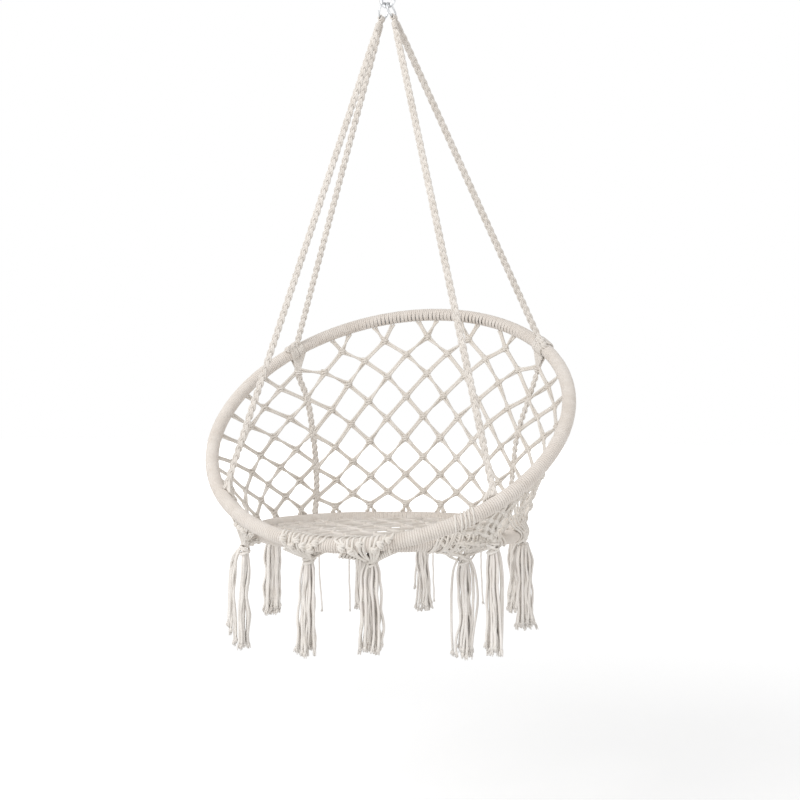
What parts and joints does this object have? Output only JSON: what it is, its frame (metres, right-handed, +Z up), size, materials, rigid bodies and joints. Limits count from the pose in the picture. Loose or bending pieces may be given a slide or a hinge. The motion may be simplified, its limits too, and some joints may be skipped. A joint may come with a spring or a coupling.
{
  "type": "hammock chair",
  "caption": "Hanging chair: a tilted wrapped hoop over a level wrapped seat hoop, knotted net between them, ropes to rings and a carabiner, tassels below.",
  "frame": {"origin": "inside of the carabiner's top bow, where it rests on its hook", "axes": "+Z up, the sitter faces -Y, +X to the right seen from the front"},
  "size_m": [0.7986, 0.6347, 1.4271],
  "materials": {
    "steel": "smooth, slightly dull",
    "tube": "satin, hidden in the wrap",
    "wrap": "close turns of cotton cord, matt",
    "rope": "braided cotton rope, matt",
    "net": "knotted cotton cord, matt",
    "cotton": "cotton cord, matt, loose ends"
  },
  "bodies": {
    "hanger": {"carabiner_body": "steel", "gate_pin": "steel"},
    "gate": {"carabiner_gate": "steel"},
    "links": {"steel_ring_left": "steel", "steel_ring_right": "steel"},
    "chair": {"back_hoop": "tube", "back_hoop_wrap": "wrap", "rope_front_left": "rope", "rope_rear_left": "rope", "rope_front_right": "rope", "rope_rear_right": "rope", "rear_knot_left": "cotton", "rear_knot_right": "cotton", "back_net": "net", "side_net_left": "net", "rear_braid_left": "rope", "corner_knot_left": "cotton", "front_lashing_left": "cotton", "side_net_right": "net", "rear_braid_right": "rope", "corner_knot_right": "cotton", "front_lashing_right": "cotton"},
    "seat": {"seat_hoop": "tube", "seat_hoop_wrap": "wrap", "seat_net": "net", "loose_strand_1": "cotton", "loose_strand_2": "cotton", "loose_strand_3": "cotton", "loose_strand_4": "cotton"},
    "tassel_01_hanging": {"tassel_01": "cotton"},
    "tassel_02_hanging": {"tassel_02": "cotton"},
    "tassel_03_hanging": {"tassel_03": "cotton"},
    "tassel_04_hanging": {"tassel_04": "cotton"},
    "tassel_05_hanging": {"tassel_05": "cotton"},
    "tassel_06_hanging": {"tassel_06": "cotton"},
    "tassel_07_hanging": {"tassel_07": "cotton"},
    "tassel_08_hanging": {"tassel_08": "cotton"},
    "tassel_09_hanging": {"tassel_09": "cotton"},
    "tassel_10_hanging": {"tassel_10": "cotton"}
  },
  "joints": [
    {"name": "gate_hinge", "type": "hinge", "parent": "hanger", "child": "gate", "pos_m": [0.014, 0, -0.044], "axis": [0, -1, 0], "range_deg": [0, 25], "stiffness_Nm_per_rad": 0.02, "springref_deg": -17.19},
    {"name": "swing_sideways", "type": "hinge", "parent": "hanger", "child": "links", "pos_m": [0, 0, -0.054], "axis": [0, 1, 0], "range_deg": [-15, 15]},
    {"name": "swing_fore_aft", "type": "hinge", "parent": "links", "child": "chair", "pos_m": [0, 0, -0.07703], "axis": [1, 0, 0], "range_deg": [-25, 25], "deforming": ["rope_front_left", "rope_rear_left", "rope_front_right", "rope_rear_right"]},
    {"name": "seat_fold", "type": "hinge", "parent": "chair", "child": "seat", "pos_m": [0, -0.2716, -1.18817], "axis": [1, 0, 0], "range_deg": [0, 38.9], "deforming": ["back_net", "side_net_left", "rear_braid_left", "corner_knot_left", "front_lashing_left", "side_net_right", "rear_braid_right", "corner_knot_right", "front_lashing_right"]},
    {"name": "tassel_01_sway", "type": "hinge", "parent": "chair", "child": "tassel_01_hanging", "pos_m": [-0.25808, -0.18749, -1.19538], "axis": [1, 0, 0], "range_deg": [-20, 20]},
    {"name": "tassel_02_sway", "type": "hinge", "parent": "chair", "child": "tassel_02_hanging", "pos_m": [-0.07011, -0.26268, -1.21939], "axis": [1, 0, 0], "range_deg": [-20, 20]},
    {"name": "tassel_03_sway", "type": "hinge", "parent": "chair", "child": "tassel_03_hanging", "pos_m": [0.05822, -0.26548, -1.21939], "axis": [1, 0, 0], "range_deg": [-20, 20]},
    {"name": "tassel_04_sway", "type": "hinge", "parent": "seat", "child": "tassel_04_hanging", "pos_m": [0.21449, -0.17158, -1.21177], "axis": [1, 0, 0], "range_deg": [-20, 20]},
    {"name": "tassel_05_sway", "type": "hinge", "parent": "chair", "child": "tassel_05_hanging", "pos_m": [0.27401, -0.18778, -1.19538], "axis": [1, 0, 0], "range_deg": [-20, 20]},
    {"name": "tassel_06_sway", "type": "hinge", "parent": "seat", "child": "tassel_06_hanging", "pos_m": [0.27388, 0.06662, -1.21177], "axis": [1, 0, 0], "range_deg": [-20, 20]},
    {"name": "tassel_07_sway", "type": "hinge", "parent": "seat", "child": "tassel_07_hanging", "pos_m": [0.22652, 0.17298, -1.21177], "axis": [1, 0, 0], "range_deg": [-20, 20]},
    {"name": "tassel_08_sway", "type": "hinge", "parent": "seat", "child": "tassel_08_hanging", "pos_m": [-0.00977, 0.28823, -1.21177], "axis": [1, 0, 0], "range_deg": [-20, 20]},
    {"name": "tassel_09_sway", "type": "hinge", "parent": "seat", "child": "tassel_09_hanging", "pos_m": [-0.1525, 0.24323, -1.21177], "axis": [1, 0, 0], "range_deg": [-20, 20]},
    {"name": "tassel_10_sway", "type": "hinge", "parent": "seat", "child": "tassel_10_hanging", "pos_m": [-0.27932, 0.02793, -1.21177], "axis": [1, 0, 0], "range_deg": [-20, 20]}
  ]
}
